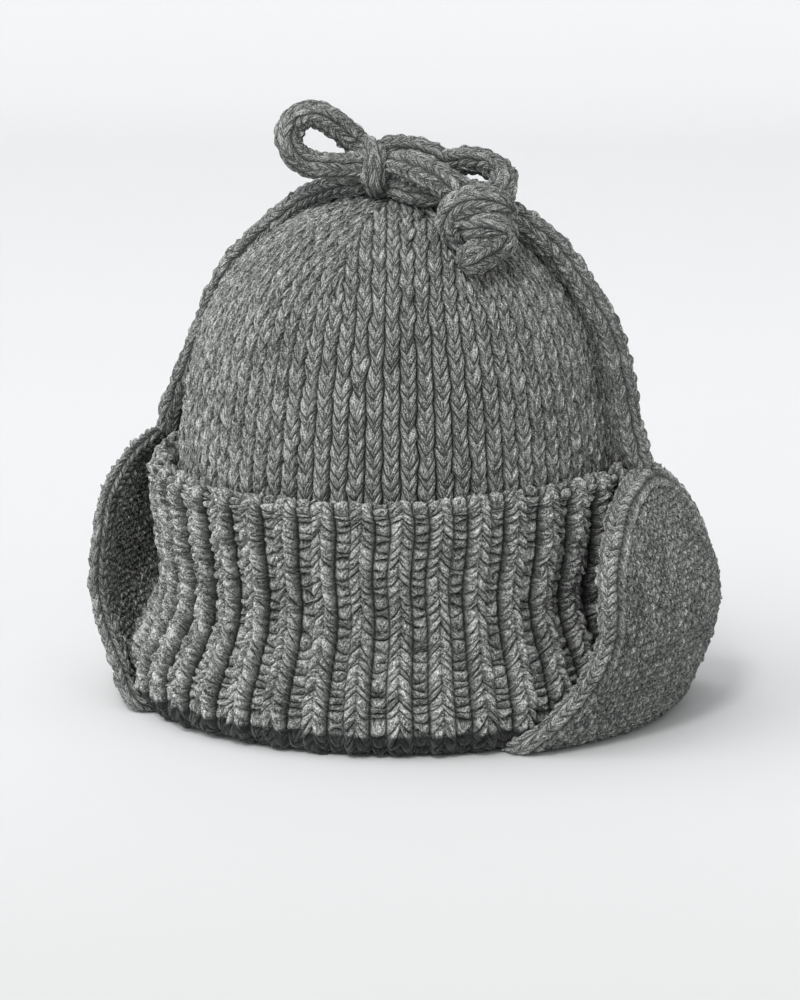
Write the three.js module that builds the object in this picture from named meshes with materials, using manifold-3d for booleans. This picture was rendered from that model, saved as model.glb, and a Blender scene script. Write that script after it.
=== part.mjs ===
// Knit earflap cap: a stockinette crown, a turned-up ribbed cuff, two cupped ear flaps that stand up
// outside the cuff with a knitted edging, and a tie cord from each flap's tip to a bow on the crown.
// Millimetres, +Z up. The cap stands on the folded bases of its flaps at z = 0, the flaps lie toward
// +X and -X, and the front is toward -Y.
import * as THREE from "three";
import { mergeVertices } from "three/addons/utils/BufferGeometryUtils.js";
import Module from "manifold-3d";

const wasm = await Module();
wasm.setup();

// Driving dimensions
const GAP = 0.3; // between pieces that touch
const CROWN_WALL = 6; // stockinette in bulky yarn
const CROWN_SIDES = 40;
const GORES = 8; // decrease lines that gather the crown
const GORE_DENT = 1.4; // how far the crown sinks along a decrease line near the top
const GORE_START = 165; // height at which the decreases begin
const CROWN_TOP = 223;
const RIBS = 40; // knit ribs round the cuff
const RIB_DEPTH = 3.2; // rib crest above the purl valley
const CUFF_TOP = 107; // height of the cuff's top edge at the front
const CUFF_SIDE_LIFT = 6; // how much higher that edge stands beside the flaps
const FLAP_THICKNESS = 6;
const EDGING_WIDTH = 11; // the band of two knit columns along a flap's free edge
const EDGE_EASE = 0.7; // extra room where the band's curve cuts the flap's straight facets
const EDGING_SIDES = 8;
const EDGING_STEPS = 40;
const CORD_DIAMETER = 11.5; // knitted i-cord
const CORD_SIDES = 8;
const CORD_STEP = 9; // length of one faceted step of a cord
const BOW_TURN = THREE.MathUtils.degToRad(24); // the bow's broad side faces a little right of the front

// The crown's outside from its hem to its top: height and radius
const CROWN_PROFILE = [
  { z: 6.3, r: 101.5 },
  { z: 12, r: 104.2 },
  { z: 21, r: 103.6 },
  { z: 34, r: 101.3 },
  { z: 47, r: 97.4 },
  { z: 60, r: 95.4 },
  { z: 84, r: 95.3 },
  { z: 105, r: 95 },
  { z: 120, r: 93 },
  { z: 138, r: 90 },
  { z: 154.9, r: 87 },
  { z: 169.2, r: 84 },
  { z: 179.3, r: 80 },
  { z: 192, r: 71 },
  { z: 202.1, r: 60 },
  { z: 210.5, r: 48.5 },
  { z: 217.1, r: 34 },
  { z: 221.5, r: 18 },
  { z: CROWN_TOP, r: 0 },
];

// The cuff's section, once round: height, radius of the rib crests, and how much of the rib shows
const CUFF_SECTION = [
  { z: 6.3, r: 109, rib: 0.2 },
  { z: 10.5, r: 115.3, rib: 1 },
  { z: 20, r: 117, rib: 1 },
  { z: 34, r: 112.5, rib: 1 },
  { z: 47, r: 107.8, rib: 1 },
  { z: 60, r: 105.6, rib: 1 },
  { z: 75, r: 107.9, rib: 1 },
  { z: 91, r: 109.6, rib: 1 },
  { z: 102, r: 108.6, rib: 1 },
  { z: CUFF_TOP, r: 104.6, rib: 0.4 },
  { z: 103, r: 100.2, rib: 0 },
  { z: 80, r: 98.6, rib: 0 },
  { z: 60, r: 96, rib: 0 },
  { z: 34, r: 102.2, rib: 0 },
  { z: 12, r: 106, rib: 0 },
];

// One rib across its pitch: the narrow purl valley, then the two shoulders of the knit column
const RIB_SHAPE = [
  { share: 0, rise: 0 },
  { share: 0.27, rise: 1 },
  { share: 0.73, rise: 1 },
];

// The flap's outside from the hidden end under the cap to its tip: distance from the cap's axis,
// height, and the angle from the flap's middle to its edge
const FLAP_PROFILE = [
  { r: 92, z: 0, half: 43 },
  { r: 104, z: 0, half: 43 },
  { r: 116, z: 0, half: 43 },
  { r: 123, z: 2.4, half: 42.3 },
  { r: 127.6, z: 8, half: 40.5 },
  { r: 130.6, z: 16, half: 37 },
  { r: 134.8, z: 26, half: 33.6 },
  { r: 138.6, z: 37, half: 30.9 },
  { r: 140.6, z: 48, half: 29.1 },
  { r: 139.8, z: 58, half: 28.1 },
  { r: 137, z: 67, half: 27.3 },
  { r: 133, z: 78, half: 25.8 },
  { r: 129, z: 88, half: 23 },
  { r: 124.2, z: 97, half: 19 },
  { r: 120.2, z: 106, half: 13 },
  { r: 117.6, z: 113, half: 3.5 },
];

// The ties' centre lines up the crown's sides: outward from the axis, forward, and height
const LEFT_TIE = [
  { out: 115, front: 0, up: 112.5 },
  { out: 112.4, front: 0, up: 121 },
  { out: 108.5, front: 0, up: 130 },
  { out: 100.5, front: 0, up: 148 },
  { out: 93.6, front: 0, up: 163.6 },
  { out: 89.2, front: 0, up: 173.8 },
  { out: 81.6, front: 0, up: 188.9 },
  { out: 71.4, front: 0, up: 200.7 },
  { out: 58.6, front: 0, up: 211.4 },
  { out: 43, front: 1, up: 220.5 },
  { out: 27, front: 3.5, up: 226.6 },
  { out: 13, front: 5.5, up: 229.8 },
  { out: 5, front: 8.6, up: 233.6 },
];
const RIGHT_TIE = [
  { out: 115, front: 0, up: 112.5 },
  { out: 113, front: 0, up: 121 },
  { out: 110, front: 0, up: 130 },
  { out: 104, front: 0, up: 148 },
  { out: 98.5, front: 0, up: 163.6 },
  { out: 94.4, front: 0, up: 173.8 },
  { out: 86.4, front: 0, up: 189.3 },
  { out: 75.6, front: 0, up: 202.1 },
  { out: 61.4, front: 0, up: 212.9 },
  { out: 44, front: 0.4, up: 220.8 },
  { out: 27, front: 3, up: 226.6 },
  { out: 12, front: 5.6, up: 229.8 },
  { out: 0, front: 9, up: 234 },
];

// The bow's centre lines: across its broad side, toward its face, and height
const LEFT_LOOP = [
  { across: -12.5, toward: 2, up: 243.6 },
  { across: -17.3, toward: 0.5, up: 246.6 },
  { across: -23.3, toward: 0.5, up: 251.1 },
  { across: -30.8, toward: 1.5, up: 257.5 },
  { across: -39.1, toward: 3.5, up: 261 },
  { across: -45.7, toward: 5, up: 257.6 },
  { across: -48.4, toward: 6.5, up: 250 },
  { across: -46.2, toward: 8, up: 242.8 },
  { across: -39.6, toward: 9, up: 238.4 },
  { across: -29.9, toward: 10.4, up: 237.4 },
  { across: -20.2, toward: 11.6, up: 237.4 },
  { across: -13, toward: 12.8, up: 237.6 },
];
const RIGHT_LOOP = [
  { across: -3, toward: 7, up: 244.4 },
  { across: 3, toward: 7.6, up: 246.2 },
  { across: 11, toward: 8.6, up: 244.6 },
  { across: 21.8, toward: 10.4, up: 240.8 },
  { across: 31.5, toward: 12, up: 239.2 },
  { across: 39.6, toward: 14, up: 236.4 },
  { across: 44.6, toward: 17.6, up: 233.8 },
  { across: 46.8, toward: 22.6, up: 232 },
  { across: 46.6, toward: 28.2, up: 228.8 },
  { across: 43.6, toward: 31, up: 226 },
  { across: 38, toward: 29.4, up: 224.8 },
  { across: 31, toward: 27.4, up: 224.4 },
  { across: 24, toward: 27.8, up: 223.6 },
  { across: 19, toward: 31, up: 222.6 },
  { across: 13.6, toward: 34.6, up: 221.8 },
  { across: 6.6, toward: 35.2, up: 223.2 },
  { across: -0.6, toward: 31, up: 225.2 },
  { across: -5.4, toward: 23, up: 227 },
  { across: -7, toward: 15.6, up: 229.6 },
];
const FRONT_END = [
  { across: -3.4, toward: 16.6, up: 239.8 },
  { across: 6, toward: 26, up: 239.8 },
  { across: 15, toward: 33, up: 235.8 },
  { across: 23.6, toward: 40.2, up: 229.4 },
  { across: 29.4, toward: 44.4, up: 223.4 },
  { across: 33, toward: 46.6, up: 218.5 },
];
const FRONT_TAIL = [
  { across: 34.2, toward: 47, up: 216.9 },
  { across: 32.6, toward: 57, up: 208 },
  { across: 31.2, toward: 63.4, up: 201.9 },
  { across: 29.8, toward: 69, up: 197.1 },
];
const BACK_END = [
  { across: -3, toward: 0.5, up: 238 },
  { across: -2.4, toward: -12, up: 234.6 },
  { across: -5, toward: -25, up: 228.4 },
  { across: -8, toward: -38, up: 224 },
  { across: -9.6, toward: -48, up: 219.7 },
  { across: -10, toward: -57, up: 215.8 },
];
const BACK_TAIL = [
  { across: -10, toward: -60, up: 215 },
  { across: -11, toward: -68, up: 203.7 },
  { across: -11.4, toward: -73, up: 198.8 },
  { across: -11.6, toward: -77, up: 193.5 },
];

// The knots: where each one sits in the bow, and its half sizes along, across and off the crown
const BOW_KNOT = { across: -7, toward: 9, up: 237.2, size: [8, 12, 13.4] };
const FRONT_KNOT = { across: 34.2, toward: 47, up: 216.6, size: [14.5, 12.5, 10.6] };
const BACK_KNOT = { across: -10, toward: -60, up: 214.4, size: [12.5, 14.5, 10.6] };

// Wool, as a plain colour for each piece
const WOOL = { roughness: 0.95, metalness: 0 };
const crownWool = new THREE.MeshStandardMaterial({ color: 0x787b77, ...WOOL });
const ribWool = new THREE.MeshStandardMaterial({ color: 0x7d807c, ...WOOL });
const flapWool = new THREE.MeshStandardMaterial({ color: 0x747773, ...WOOL });
const edgingWool = new THREE.MeshStandardMaterial({ color: 0x6f726e, ...WOOL });
const cordWool = new THREE.MeshStandardMaterial({ color: 0x6c6f6b, ...WOOL });

const cap = new THREE.Group();

// Straight-line reading of the column `ys` at `x` on the column `xs`, which rises
function readAt(xs, ys, x) {
  const last = xs.length - 1;
  const next = Math.min(Math.max(xs.findIndex((value) => value >= x), 1), last);
  const row = x > xs[last] ? last : next;
  const share = (x - xs[row - 1]) / (xs[row] - xs[row - 1]);
  return THREE.MathUtils.lerp(ys[row - 1], ys[row], share);
}

// A geometry whose vertices are moved by `place`, with shared corners merged and faces turned outward
function shaped(geometry, place) {
  const bare = geometry.clone();
  bare.deleteAttribute("normal");
  bare.deleteAttribute("uv");
  const position = bare.getAttribute("position");
  const vertex = new THREE.Vector3();
  for (let i = 0; i < position.count; i += 1) {
    vertex.fromBufferAttribute(position, i);
    place(vertex);
    position.setXYZ(i, vertex.x, vertex.y, vertex.z);
  }
  const merged = mergeVertices(bare, 1e-3);
  const index = [...merged.index.array];
  const corner = [new THREE.Vector3(), new THREE.Vector3(), new THREE.Vector3()];
  const kept = [];
  let volume = 0;
  for (let i = 0; i < index.length; i += 3) {
    const triangle = index.slice(i, i + 3);
    if (new Set(triangle).size < 3) continue;
    triangle.forEach((at, k) => corner[k].fromBufferAttribute(merged.getAttribute("position"), at));
    volume += corner[0].dot(corner[1].clone().cross(corner[2]));
    kept.push(triangle);
  }
  if (volume < 0) kept.forEach((triangle) => triangle.reverse());
  merged.setIndex(kept.flat());
  return merged;
}

// A closed geometry as a solid that can be cut and joined
function toSolid(geometry) {
  const merged = shaped(geometry, (vertex) => vertex);
  return new wasm.Manifold(
    new wasm.Mesh({
      numProp: 3,
      vertProperties: new Float32Array(merged.getAttribute("position").array),
      triVerts: new Uint32Array(merged.index.array),
    }),
  );
}

// A solid back as a geometry
function toGeometry(solid) {
  const mesh = solid.getMesh();
  const geometry = new THREE.BufferGeometry();
  geometry.setAttribute("position", new THREE.Float32BufferAttribute(mesh.vertProperties, 3));
  geometry.setIndex([...mesh.triVerts]);
  return geometry;
}

function addMesh(name, geometry, material) {
  geometry.computeVertexNormals();
  const mesh = new THREE.Mesh(geometry, material);
  mesh.name = name;
  cap.add(mesh);
  return mesh;
}

// The crown's inside: every second row of its outside, one wall further in, with the hem kept flat
function crownInside() {
  const last = CROWN_PROFILE.length - 1;
  const rows = CROWN_PROFILE.map((row, i) => {
    const before = CROWN_PROFILE[Math.max(i - 1, 0)];
    const after = CROWN_PROFILE[Math.min(i + 1, last)];
    const run = new THREE.Vector2(after.r - before.r, after.z - before.z).normalize();
    const rise = i === 0 ? 0 : CROWN_WALL * run.x;
    return new THREE.Vector2(row.r - CROWN_WALL * run.y, row.z + rise);
  });
  rows[last].set(0, CROWN_TOP - CROWN_WALL);
  return rows.filter((row, i) => i % 2 === 0);
}

// The crown: one open-bottomed wall, turned about the axis, that sinks a little along its decreases
function crownGeometry() {
  const outside = CROWN_PROFILE.map((row) => new THREE.Vector2(row.r, row.z)).reverse();
  const points = [...outside, ...crownInside()];
  const turned = new THREE.LatheGeometry(points, CROWN_SIDES);
  return shaped(turned, (vertex) => {
    const [radius, height] = [Math.hypot(vertex.x, vertex.z), vertex.y];
    const angle = Math.atan2(vertex.z, vertex.x);
    const gather = THREE.MathUtils.smoothstep(height, GORE_START, CROWN_TOP);
    const dent = GORE_DENT * gather * (0.5 + 0.5 * Math.cos(GORES * angle)) * Math.min(radius / 30, 1);
    const kept = radius - dent;
    vertex.set(kept * Math.cos(angle), kept * Math.sin(angle), height);
  });
}

// The cuff: a ring whose section is the table above, with ribs round its outside
function cuffGeometry() {
  const rings = CUFF_SECTION.length;
  const columns = RIBS * RIB_SHAPE.length;
  const ring = new THREE.TorusGeometry(2, 1, rings, columns);
  const uv = ring.getAttribute("uv");
  let vertexNumber = 0;
  return shaped(ring, (vertex) => {
    const column = Math.round(uv.getX(vertexNumber) * columns) % columns;
    const row = CUFF_SECTION[Math.round(uv.getY(vertexNumber) * rings) % rings];
    const { share, rise } = RIB_SHAPE[column % RIB_SHAPE.length];
    const rib = Math.floor(column / RIB_SHAPE.length);
    const angle = ((rib + share) / RIBS) * 2 * Math.PI;
    const radius = row.r - RIB_DEPTH * row.rib * (1 - rise);
    const lift = CUFF_SIDE_LIFT * Math.cos(angle) ** 2 * (row.z / CUFF_TOP) ** 2;
    vertex.set(radius * Math.cos(angle), radius * Math.sin(angle), row.z + (row.z > 10 ? lift : 0));
    vertexNumber += 1;
  });
}

// The flap's rows with the length along the knitting and the direction through it at each
const flapRows = FLAP_PROFILE.map((row, i) => {
  const before = FLAP_PROFILE[Math.max(i - 1, 0)];
  const after = FLAP_PROFILE[Math.min(i + 1, FLAP_PROFILE.length - 1)];
  const run = new THREE.Vector2(after.r - before.r, after.z - before.z).normalize();
  return { ...row, inR: -run.y, inZ: run.x, width: row.r * THREE.MathUtils.degToRad(row.half) };
});
flapRows.forEach((row, i) => {
  const before = flapRows[Math.max(i - 1, 0)];
  row.along = i === 0 ? 0 : before.along + Math.hypot(row.r - before.r, row.z - before.z);
});
const flapAlong = flapRows.map((row) => row.along);
const FLAP_LENGTH = flapAlong[flapAlong.length - 1];

// A point of a flap: millimetres across it, along it from the hidden end, and deep from its outside
function flapPoint(side, across, along, depth) {
  const read = (column) => readAt(flapAlong, flapRows.map((row) => row[column]), along);
  const angle = across / read("r");
  const radius = read("r") + depth * read("inR");
  const height = read("z") + depth * read("inZ");
  return new THREE.Vector3(side * radius * Math.cos(angle), radius * Math.sin(angle), height);
}

// Half of the flap's outline, from the hidden end to the tip, moved inward by `inset`
function flapOutline(inset) {
  const edge = flapRows.map((row) => new THREE.Vector2(row.width, row.along));
  edge.push(new THREE.Vector2(0, FLAP_LENGTH + 1));
  return edge.slice(0, -1).map((point, i) => {
    const run = edge[i + 1].clone().sub(edge[Math.max(i - 1, 0)]).normalize();
    return new THREE.Vector2(point.x - inset * run.y, point.y + inset * run.x);
  });
}

function flapGeometry(side) {
  const edge = flapOutline(EDGING_WIDTH + GAP + EDGE_EASE);
  const [edgeAlong, edgeWidth] = [edge.map((point) => point.y), edge.map((point) => point.x)];
  const end = edgeAlong[edgeAlong.length - 1];
  const stations = [...flapAlong.filter((along) => along < end - 1), end];
  const rows = stations.length - 1;
  const slab = new THREE.BoxGeometry(2, 1, 1, 12, rows, 1);
  return shaped(slab, (vertex) => {
    const along = stations[Math.round((vertex.y + 0.5) * rows)];
    const width = Math.max(readAt(edgeAlong, edgeWidth, along), 2);
    vertex.copy(flapPoint(side, vertex.x * width, along, (vertex.z + 0.5) * FLAP_THICKNESS));
  });
}

// The edging: a rounded band carried along the flap's edge from its front base over the tip to its back
function edgingGeometry(side) {
  const half = flapOutline(EDGING_WIDTH / 2);
  const front = half.map((point) => new THREE.Vector3(-point.x, point.y, 0));
  const tip = new THREE.Vector3(0, FLAP_LENGTH - EDGING_WIDTH / 2, 0);
  const back = half.map((point) => new THREE.Vector3(point.x, point.y, 0)).reverse();
  const edge = new THREE.CatmullRomCurve3([...front, tip, ...back]);
  const band = new THREE.CylinderGeometry(1, 1, 1, EDGING_SIDES, EDGING_STEPS);
  return shaped(band, (vertex) => {
    const share = vertex.y + 0.5;
    const centre = edge.getPointAt(share);
    const run = edge.getTangentAt(share);
    const aside = (vertex.x * EDGING_WIDTH) / 2;
    const depth = ((vertex.z + 1) * FLAP_THICKNESS) / 2;
    const along = Math.max(centre.y + aside * run.x, 0);
    vertex.copy(flapPoint(side, centre.x - aside * run.y, along, depth));
  });
}

// A point of the bow in the cap's frame
function bowPoint({ across, toward, up }) {
  const x = across * Math.cos(BOW_TURN) + toward * Math.sin(BOW_TURN);
  const y = across * Math.sin(BOW_TURN) - toward * Math.cos(BOW_TURN);
  return new THREE.Vector3(x, y, up);
}

function tiePoint(side, { out, front, up }) {
  return new THREE.Vector3(side * out, -front, up);
}

// A cord as a tube of flat sides along a smooth curve through its points
function cordGeometry(points) {
  const route = new THREE.CatmullRomCurve3(points);
  const section = new THREE.Shape();
  for (let i = 0; i < CORD_SIDES; i += 1) {
    const angle = (i / CORD_SIDES) * 2 * Math.PI;
    const [x, y] = [(CORD_DIAMETER / 2) * Math.cos(angle), (CORD_DIAMETER / 2) * Math.sin(angle)];
    if (i === 0) section.moveTo(x, y);
    else section.lineTo(x, y);
  }
  const steps = Math.ceil(route.getLength() / CORD_STEP);
  return new THREE.ExtrudeGeometry(section, { steps, curveSegments: 1, extrudePath: route });
}

// A knot as an oval body, its short axis along `off`
function knotGeometry({ size, ...place }, off, clearance = 0) {
  const [halfWidth, halfHeight, halfDepth] = size.map((half) => half + clearance);
  const turn = new THREE.Quaternion().setFromUnitVectors(new THREE.Vector3(0, 0, 1), off);
  const middle = bowPoint(place);
  return shaped(new THREE.SphereGeometry(1, 12, 8), (vertex) => {
    vertex.set(vertex.x * halfWidth, vertex.y * halfHeight, vertex.z * halfDepth);
    vertex.applyQuaternion(turn).add(middle);
  });
}

// The direction off the crown, for a knot that lies on its shoulder
function offCrown(place) {
  const middle = bowPoint(place);
  return new THREE.Vector3(middle.x, middle.y, Math.hypot(middle.x, middle.y) * 1.28).normalize();
}

// The knot that ties the bow stands upright and turned with it
function bowKnotGeometry(clearance = 0) {
  const half = BOW_KNOT.size.map((size) => size + clearance);
  const middle = bowPoint(BOW_KNOT);
  return shaped(new THREE.SphereGeometry(1, 12, 10), (vertex) => {
    const place = { across: vertex.x * half[0], toward: vertex.z * half[1], up: vertex.y * half[2] };
    vertex.copy(bowPoint(place)).add(middle);
  });
}

function build() {
  addMesh("crown", crownGeometry(), crownWool);
  addMesh("cuff", cuffGeometry(), ribWool);

  const sides = [
    { name: "left", side: -1, tie: LEFT_TIE, loop: LEFT_LOOP },
    { name: "right", side: 1, tie: RIGHT_TIE, loop: RIGHT_LOOP },
  ];
  const bowKnotRoom = toSolid(bowKnotGeometry(GAP));
  addMesh("bow_knot", bowKnotGeometry(), cordWool);
  for (const { name, side, tie, loop } of sides) {
    addMesh(`ear_flap_${name}`, flapGeometry(side), flapWool);
    addMesh(`flap_edging_${name}`, edgingGeometry(side), edgingWool);
    const tieCord = toSolid(cordGeometry(tie.map((row) => tiePoint(side, row))));
    addMesh(`tie_cord_${name}`, toGeometry(tieCord.subtract(bowKnotRoom)), cordWool);
    const loopCord = toSolid(cordGeometry(loop.map(bowPoint)));
    addMesh(`bow_loop_${name}`, toGeometry(loopCord.subtract(bowKnotRoom)), cordWool);
  }

  const ends = [
    { name: "front", knot: FRONT_KNOT, route: FRONT_END, tail: FRONT_TAIL },
    { name: "back", knot: BACK_KNOT, route: BACK_END, tail: BACK_TAIL },
  ];
  for (const { name, knot, route, tail } of ends) {
    const off = offCrown(knot);
    const endKnotRoom = toSolid(knotGeometry(knot, off, GAP));
    const strand = toSolid(cordGeometry(route.map(bowPoint)));
    const clearStrand = strand.subtract(bowKnotRoom).subtract(endKnotRoom);
    addMesh(`bow_end_${name}`, toGeometry(clearStrand), cordWool);
    const tailCord = toSolid(cordGeometry(tail.map(bowPoint)));
    const endKnot = toSolid(knotGeometry(knot, off)).add(tailCord);
    addMesh(`end_knot_${name}`, toGeometry(endKnot), cordWool);
  }
}

build();

export default cap;
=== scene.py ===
# %% [markdown]
# # A knit earflap cap
#
# This lesson dresses the fixed CAD frame of a chunky wool cap: a stockinette crown, a turned-up
# ribbed cuff, two ear flaps folded up at the sides, and two round knit cords tied in a bow on top.
# Every visible surface is a knitted one, so one idea carries the whole scene: a grid whose lines
# follow the yarn. The CAD gives the places; the grids give the stitches.

import bmesh
import bpy
import numpy as np
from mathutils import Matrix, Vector


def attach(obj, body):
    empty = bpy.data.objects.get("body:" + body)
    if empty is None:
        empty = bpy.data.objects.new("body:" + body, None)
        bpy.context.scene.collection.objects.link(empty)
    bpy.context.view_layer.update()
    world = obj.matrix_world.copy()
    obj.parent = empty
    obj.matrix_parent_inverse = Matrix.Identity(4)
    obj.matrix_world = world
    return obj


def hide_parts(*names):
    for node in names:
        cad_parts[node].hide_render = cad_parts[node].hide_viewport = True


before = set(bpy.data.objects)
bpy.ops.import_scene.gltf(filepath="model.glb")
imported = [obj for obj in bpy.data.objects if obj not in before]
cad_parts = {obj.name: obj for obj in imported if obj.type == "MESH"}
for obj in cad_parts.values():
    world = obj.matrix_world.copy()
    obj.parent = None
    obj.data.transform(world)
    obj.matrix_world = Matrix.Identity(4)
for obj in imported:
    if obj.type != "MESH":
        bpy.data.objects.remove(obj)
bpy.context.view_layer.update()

# %% [markdown]
# ## Camera
#
# The cap was photographed from a little above and a little to one side, from some distance, so
# its sides hardly converge. A long lens at 1.8 m gives the same flat view.

# %% Camera
AZIMUTH = np.radians(24.0)
ELEVATION = np.radians(11.4)
AIM = np.array([0.0, 0.0, 0.0877])
to_camera = np.array(
    [
        np.sin(AZIMUTH) * np.cos(ELEVATION),
        -np.cos(AZIMUTH) * np.cos(ELEVATION),
        np.sin(ELEVATION),
    ]
)
camera = bpy.data.objects.new("camera", bpy.data.cameras.new("camera"))
bpy.context.scene.collection.objects.link(camera)
camera.location = AIM + 1.8 * to_camera
camera.rotation_euler = Vector(to_camera).to_track_quat("Z", "Y").to_euler()
camera.data.sensor_fit = "VERTICAL"
camera.data.sensor_height = 36.0
camera.data.lens = 146.3
bpy.context.scene.camera = camera
bpy.context.scene.view_settings.view_transform = "Standard"

# %% [markdown]
# ## Smooth lines
#
# Cords, profiles and outlines are all given by a few measured points. One helper runs a smooth
# line through them and cuts it into even steps, so that a distance in millimetres along the line
# is also a place in stitches.

# %% Smooth lines
def line_through(points, step=0.0007, closed=False):
    """Points on a smooth line: between two points, the cubic that leaves and arrives with each
    point's slope, the mean of the slopes on its two sides weighted by the other side's length."""
    points = np.asarray(points, float)
    if closed:
        points = np.concatenate([points[-3:], points, points[:4]])
    spans = np.linalg.norm(np.diff(points, axis=0), axis=1)
    knots = np.concatenate([[0.0], np.cumsum(spans)])
    runs = np.diff(points, axis=0) / spans[:, None]
    inner = (runs[:-1] * spans[1:, None] + runs[1:] * spans[:-1, None]) / (
        spans[1:, None] + spans[:-1, None]
    )
    slopes = np.concatenate([runs[:1], inner, runs[-1:]])
    ends = (knots[3], knots[-4]) if closed else (0.0, knots[-1])
    at = np.linspace(*ends, int((ends[1] - ends[0]) / (0.4 * step)) + 2)
    i = np.clip(np.searchsorted(knots, at, side="right") - 1, 0, len(spans) - 1)
    h = spans[i][:, None]
    t = ((at - knots[i]) / spans[i])[:, None]
    dense = (
        (2 * t**3 - 3 * t**2 + 1) * points[i]
        + (t**3 - 2 * t**2 + t) * h * slopes[i]
        + (3 * t**2 - 2 * t**3) * points[i + 1]
        + (t**3 - t**2) * h * slopes[i + 1]
    )
    length = np.concatenate([[0.0], np.cumsum(np.linalg.norm(np.diff(dense, axis=0), axis=1))])
    even = np.linspace(0, length[-1], int(length[-1] / step) + 2)
    return even, columns_at(even, length, dense)


def columns_at(at, along, values):
    """Each column of values, read at the places `at` by straight steps between the places `along`."""
    at = np.asarray(at, float)
    return np.stack([np.interp(at, along, column) for column in values.T], axis=-1)


# %% [markdown]
# ## Stitches as a grid
#
# In stocking stitch each loop shows as a V: two short legs of yarn that lean away from each
# other. The legs stack into columns with a dark groove between them. A square grid would need
# very many faces to follow leaning legs, so the grid here is sheared: its lines run along the
# legs, and three or four faces across a leg are enough for a round, plump yarn.
#
# Across the fabric a place is told by the half column it is in and by e, which runs from 0 at
# the column's edge to 1 at the V's centre. Along the fabric it is the row and f, from 0 to 1
# through the thickness of one leg.

# %% The grid's steps
V_STEPS = np.array([0.0, 0.18, 0.56])
ROW_STEPS = np.array([0.0, 0.14, 0.36, 0.64, 0.86])


def v_lines(halves, steps=V_STEPS):
    """Lines across `halves` half columns: place in half columns, e at the line, and each face's
    own e on both sides. e rises through even halves and falls through odd ones."""
    steps_down = 1 - np.append(steps, 1.0)[::-1][:-1]
    half = np.repeat(np.arange(halves), len(steps))
    odd = half % 2 == 1
    place = np.where(odd, np.tile(steps_down, halves), np.tile(steps, halves))
    following = np.append(place[1:], 0.0)
    following = np.where(following == 0.0, 1.0, following)
    e_from = np.where(odd, 1 - place, place)
    e_to = np.where(odd, 1 - following, following)
    return half + place, e_from, e_to, half


def row_places(rows, steps=ROW_STEPS):
    """Places along the fabric in rows, `steps` of them in each row, ending on the last row's end."""
    return np.append((np.arange(rows)[:, None] + steps[None, :]).ravel(), float(rows))


def yarn_round(v):
    """How high a yarn stands at f through its thickness: the height of a circle, 0 to 1 to 0."""
    f = v - np.floor(v)
    return np.sqrt(np.clip(1 - (2 * f - 1) ** 2, 0, 1))


FLOOR_SOFTNESS = 0.0012


def on_floor(points):
    """Wool that would reach below the floor is pressed flat on it: z becomes half of z plus the
    root of z squared and a little more, which never falls to 0."""
    z = points[..., 2]
    pressed = 0.5 * (z + np.sqrt(z**2 + FLOOR_SOFTNESS**2))
    return np.concatenate([points[..., :2], pressed[..., None]], axis=-1)


# %% [markdown]
# Hand-spun wool and a loose gauge never give two equal stitches. A smooth noise, made of a few
# dozen waves in seeded directions, pushes each leg a little along, across, in or out. The same
# place always gets the same push, so neighbouring faces still meet.

# %% Uneven stitches
def uneven(place, along, total, seed, waves=26, least=0.12, most=0.55):
    """Noise of about -1 to 1: a sum of cosines. Across, each has a whole number of waves in the
    total, so that a ring closes; along, it has `least` to `most` waves in a row."""
    random = np.random.default_rng(seed)
    turns = random.integers(-int(most * total), int(most * total) + 1, waves)
    climbs = random.uniform(least, most, waves) * random.choice([-1, 1], waves)
    phases = random.uniform(0, 2 * np.pi, waves)
    result = np.zeros(np.broadcast(place, along).shape)
    for turn, climb, phase in zip(turns, climbs, phases):
        result += np.cos(2 * np.pi * (turn / total * place + climb * along) + phase)
    return result / np.sqrt(waves)


# %% [markdown]
# A piece's grid becomes one closed mesh. Lines that were stopped at an edge or at a pole lie on
# each other there; merging them closes the surface. Where lines cross at a stop, merging can
# leave a stray fin or a small hole: fins are taken away and holes filled, a few times over. The
# volume's sign tells whether the faces point outwards. Each face keeps its place in stitches as
# UV: the whole part of U numbers the leg and the rest is e, the whole part of V numbers the row
# and the rest is f.

# %% From grid to mesh
WELD, MEND = 1e-6, 3e-4


def close_up(work):
    """Take away each face that stands on a shared edge with an open rim, merge what is left of
    the rims within `MEND` and fill holes of up to eight sides."""
    for _ in range(5):
        fins = [face for face in work.faces if any(edge.is_boundary for edge in face.edges)]
        fins = [face for face in fins if any(len(edge.link_faces) > 2 for edge in face.edges)]
        bmesh.ops.delete(work, geom=fins, context="FACES")
        rims = [vert for vert in work.verts if vert.is_boundary]
        bmesh.ops.remove_doubles(work, verts=rims, dist=MEND)
        bmesh.ops.delete(work, geom=[edge for edge in work.edges if edge.is_wire], context="EDGES")
        rims = [edge for edge in work.edges if edge.is_boundary]
        bmesh.ops.holes_fill(work, edges=rims, sides=8)


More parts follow.
